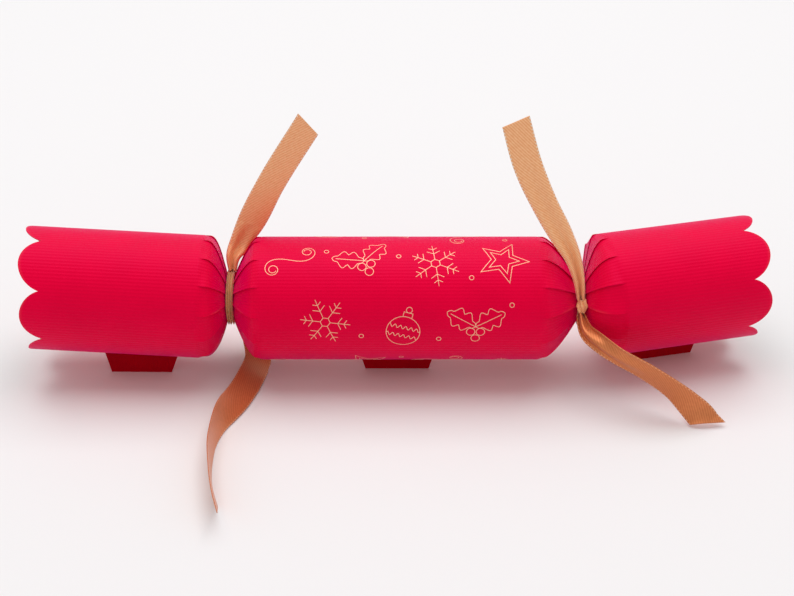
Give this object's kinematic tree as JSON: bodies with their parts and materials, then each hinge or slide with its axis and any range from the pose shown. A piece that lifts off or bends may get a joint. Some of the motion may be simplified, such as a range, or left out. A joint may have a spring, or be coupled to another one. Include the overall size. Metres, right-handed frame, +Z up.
{
  "type": "christmas cracker",
  "caption": "Ribbed red card cracker: a barrel between two scalloped end tubes, pleated in at the necks and tied with copper satin ribbon. The ends pull off and set off the snap.",
  "frame": {"origin": "bottom edge of the barrel's tab, on the table under the middle between the two necks", "axes": "+X along the barrel towards the end that is bent back, +Y away from the viewer, +Z up"},
  "size_m": [0.3039, 0.1494, 0.1172],
  "materials": {
    "red_card": "satin",
    "satin_ribbon": "satin",
    "snap_card": "matte",
    "friction_patch": "matte",
    "sleeve_paper": "matte",
    "tissue": "matte",
    "slip_paper": "matte",
    "turned_wood": "satin"
  },
  "bodies": {
    "barrel": {"barrel_card": "red_card", "barrel_flap": "red_card"},
    "left_tie": {"left_ribbon_band": "satin_ribbon", "left_ribbon_knot": "satin_ribbon", "left_ribbon_upper_tail": "satin_ribbon", "left_ribbon_lower_tail": "satin_ribbon", "left_snap_strip": "snap_card", "left_snap_charge": "friction_patch"},
    "left_end": {"left_end_card": "red_card", "left_end_flap": "red_card", "left_neck_pleats": "red_card"},
    "right_tie": {"right_ribbon_band": "satin_ribbon", "right_ribbon_knot": "satin_ribbon", "right_ribbon_upper_tail": "satin_ribbon", "right_ribbon_lower_tail": "satin_ribbon", "right_snap_strip": "snap_card", "right_snap_charge": "friction_patch", "snap_band": "sleeve_paper"},
    "right_end": {"right_end_card": "red_card", "right_end_flap": "red_card", "right_neck_pleats": "red_card"},
    "hat": {"paper_hat": "tissue"},
    "motto": {"motto_slip": "slip_paper"},
    "gift": {"gift_top_disc": "turned_wood", "gift_top_peg": "turned_wood"}
  },
  "joints": [
    {"name": "left_pull", "type": "slide", "parent": "barrel", "child": "left_tie", "axis": [-1, 0, 0], "range_m": [0, 0.1]},
    {"name": "left_bend", "type": "hinge", "parent": "left_tie", "child": "left_end", "pos_m": [-0.0715, 0, 0.034], "axis": [0, 0, 1], "range_deg": [-16, 14], "deforming": ["left_neck_pleats"]},
    {"name": "right_pull", "type": "slide", "parent": "barrel", "child": "right_tie", "axis": [1, 0, 0], "range_m": [0, 0.1]},
    {"name": "right_bend", "type": "hinge", "parent": "right_tie", "child": "right_end", "pos_m": [0.0715, 0, 0.034], "axis": [0, 0, 1], "range_deg": [-14.5, 4], "deforming": ["right_neck_pleats"]},
    {"name": "hat_slide", "type": "slide", "parent": "barrel", "child": "hat", "axis": [1, 0, 0], "range_m": [-0.01, 0.01]},
    {"name": "motto_slide", "type": "slide", "parent": "barrel", "child": "motto", "axis": [1, 0, 0], "range_m": [-0.035, 0.035]},
    {"name": "gift_slide", "type": "slide", "parent": "barrel", "child": "gift", "axis": [1, 0, 0], "range_m": [-0.045, 0.045]}
  ]
}
